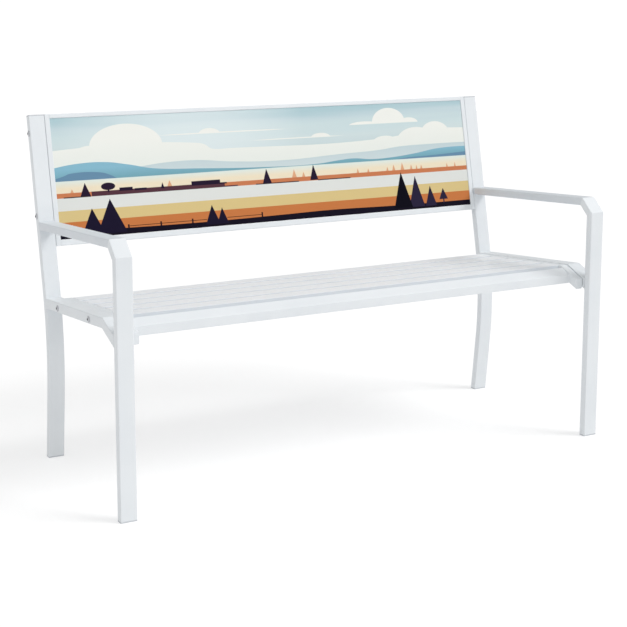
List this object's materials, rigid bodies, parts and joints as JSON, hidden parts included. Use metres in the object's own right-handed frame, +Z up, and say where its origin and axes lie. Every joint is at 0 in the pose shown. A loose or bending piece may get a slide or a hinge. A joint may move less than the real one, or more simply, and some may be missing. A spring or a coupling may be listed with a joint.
{
  "type": "garden bench",
  "caption": "Steel garden bench with mitred tube arms, curved back legs, a slatted seat and a framed backrest sheet printed with a flat country landscape.",
  "frame": {"origin": "on the floor, in the middle of the bench's length and depth", "axes": "+X along the bench, to the right as seen from the front, +Y towards the backrest, +Z up"},
  "size_m": [1.2764, 0.574, 0.814],
  "materials": {
    "powder_coated_steel": "smooth pale cool-white powder coat, low gloss",
    "printed_sheet": "printed flat landscape under a satin clear coat",
    "plug_plastic": "moulded, fine matt grain",
    "bolt_steel": "zinc plated, turned heads"
  },
  "bodies": {
    "root": {"left_back_leg": "powder_coated_steel", "left_front_leg": "powder_coated_steel", "left_arm_corner": "powder_coated_steel", "left_armrest": "powder_coated_steel", "left_rail_nose": "powder_coated_steel", "left_seat_rail": "powder_coated_steel", "left_seat_bar": "powder_coated_steel", "left_back_stile": "powder_coated_steel", "right_back_leg": "powder_coated_steel", "right_front_leg": "powder_coated_steel", "right_arm_corner": "powder_coated_steel", "right_armrest": "powder_coated_steel", "right_rail_nose": "powder_coated_steel", "right_seat_rail": "powder_coated_steel", "right_seat_bar": "powder_coated_steel", "right_back_stile": "powder_coated_steel", "seat_slat_1": "powder_coated_steel", "seat_slat_2": "powder_coated_steel", "seat_slat_3": "powder_coated_steel", "seat_slat_4": "powder_coated_steel", "seat_slat_5": "powder_coated_steel", "seat_front_nose": "powder_coated_steel", "seat_centre_brace": "powder_coated_steel", "back_top_rail": "powder_coated_steel", "back_bottom_rail": "powder_coated_steel", "panel_tabs": "powder_coated_steel", "printed_back_panel": "printed_sheet", "left_post_cap": "plug_plastic", "left_front_foot_plug": "plug_plastic", "left_back_foot_plug": "plug_plastic", "right_post_cap": "plug_plastic", "right_front_foot_plug": "plug_plastic", "right_back_foot_plug": "plug_plastic", "seat_bolts": "bolt_steel", "backrest_bolts": "bolt_steel", "bolt_washers": "bolt_steel", "threaded_inserts": "bolt_steel"}
  },
  "joints": []
}
